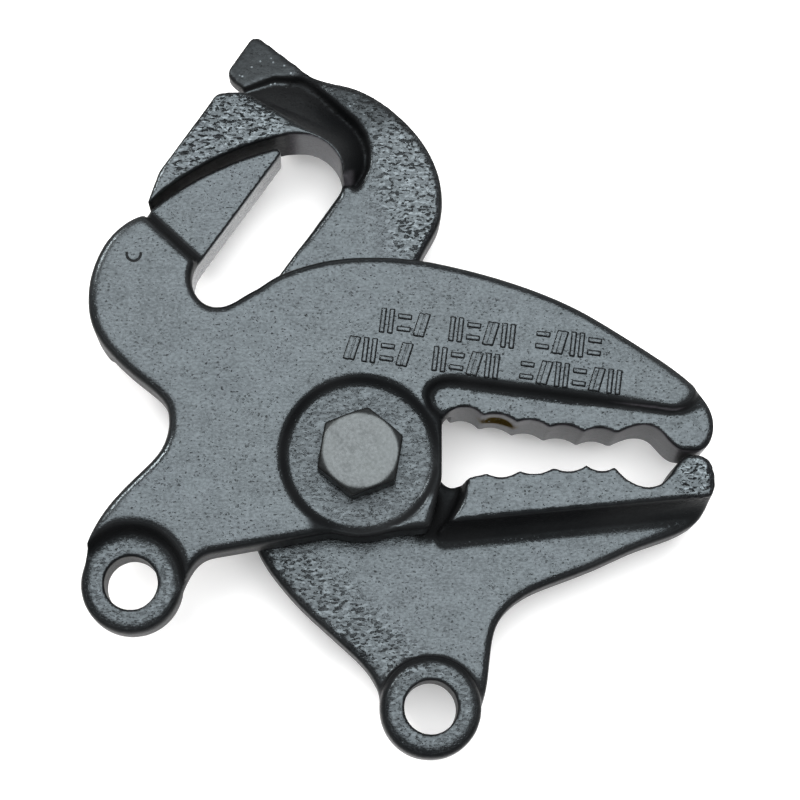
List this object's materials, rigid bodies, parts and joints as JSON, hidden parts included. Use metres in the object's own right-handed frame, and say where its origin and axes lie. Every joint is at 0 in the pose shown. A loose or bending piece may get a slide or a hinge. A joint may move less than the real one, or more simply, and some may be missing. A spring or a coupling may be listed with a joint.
{
  "type": "chain-hook pliers head",
  "caption": "Compound jaw head of tyre-chain repair pliers: two forged jaws lapped on a hex pivot bolt, with a toothed mouth, a curved hook slot and an ear on each jaw for a handle.",
  "frame": {"origin": "middle of the bottom of the whole head, level with the end of the pivot bolt", "axes": "+Z along the pivot bolt towards its head, +Y from the handle ears towards the hook slot, +X towards the toothed mouth"},
  "size_m": [0.1538, 0.1836, 0.0426],
  "materials": {
    "black_paint": "gloss black paint over a forged skin",
    "plated_steel": "dull plated steel"
  },
  "bodies": {
    "rear": {"rear_jaw": "black_paint", "pivot_bolt": "plated_steel", "lock_washer": "plated_steel", "pivot_nut": "plated_steel"},
    "front": {"front_jaw": "black_paint"}
  },
  "joints": [
    {"name": "jaw_pivot", "type": "hinge", "parent": "rear", "child": "front", "pos_m": [-0.00962, -0.0195, 0.0236], "axis": [0, 0, 1], "range_deg": [0, 25]}
  ]
}
